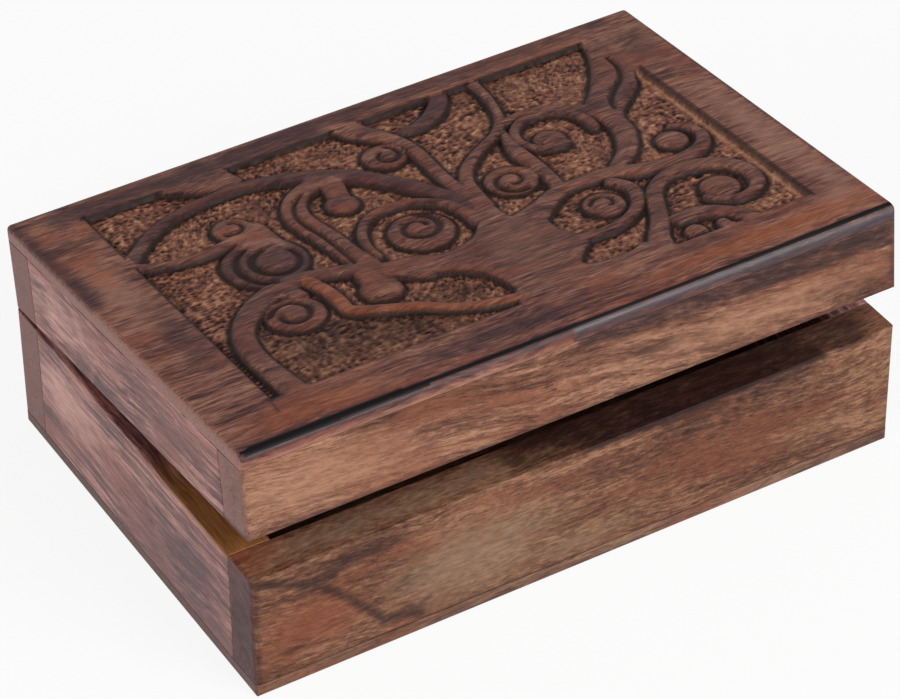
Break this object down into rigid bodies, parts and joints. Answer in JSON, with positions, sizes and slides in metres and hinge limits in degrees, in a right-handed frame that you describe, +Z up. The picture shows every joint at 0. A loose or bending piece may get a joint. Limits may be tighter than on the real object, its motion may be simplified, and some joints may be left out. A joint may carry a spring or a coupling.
{
  "type": "dice box with hinged lid",
  "caption": "Small rectangular wooden box of butt-jointed boards, with a hinged lid whose top is carved with scrolling branches in shallow relief.",
  "frame": {"origin": "centre of the tray's underside, on the surface that the box stands on", "axes": "+X along the front to the right, +Y from the front to the hinged back, +Z up"},
  "size_m": [0.1524, 0.1052, 0.0603],
  "materials": {
    "front_wood": "oiled, mottled tan and brick brown",
    "lid_front_wood": "oiled, streaked tan, scorched along its top edge",
    "back_wood": "oiled, reddish brown",
    "end_wood": "oiled, greyish red brown",
    "base_wood": "oiled, greyish brown",
    "carved_wood": "oiled and rubbed, with a scorched edge and a stippled carved ground",
    "hinge_brass": "tarnished satin",
    "pin_brass": "satin",
    "screw_brass": "satin",
    "brad_steel": "dull"
  },
  "bodies": {
    "tray": {"tray_front": "front_wood", "tray_back": "back_wood", "tray_left_end": "end_wood", "tray_right_end": "end_wood", "tray_base": "base_wood", "base_brads": "brad_steel", "left_tray_leaf": "hinge_brass", "right_tray_leaf": "hinge_brass", "left_hinge_pin": "pin_brass", "right_hinge_pin": "pin_brass", "left_tray_screws": "screw_brass", "right_tray_screws": "screw_brass"},
    "lid": {"lid_front": "lid_front_wood", "lid_back": "back_wood", "lid_left_end": "end_wood", "lid_right_end": "end_wood", "lid_panel": "carved_wood", "left_lid_leaf": "hinge_brass", "right_lid_leaf": "hinge_brass", "left_lid_screws": "screw_brass", "right_lid_screws": "screw_brass"}
  },
  "joints": [
    {"name": "lid_hinge", "type": "hinge", "parent": "tray", "child": "lid", "pos_m": [0, 0.0528, 0.03065], "axis": [-1, 0, 0], "range_deg": [-5.4, 174.6]}
  ]
}
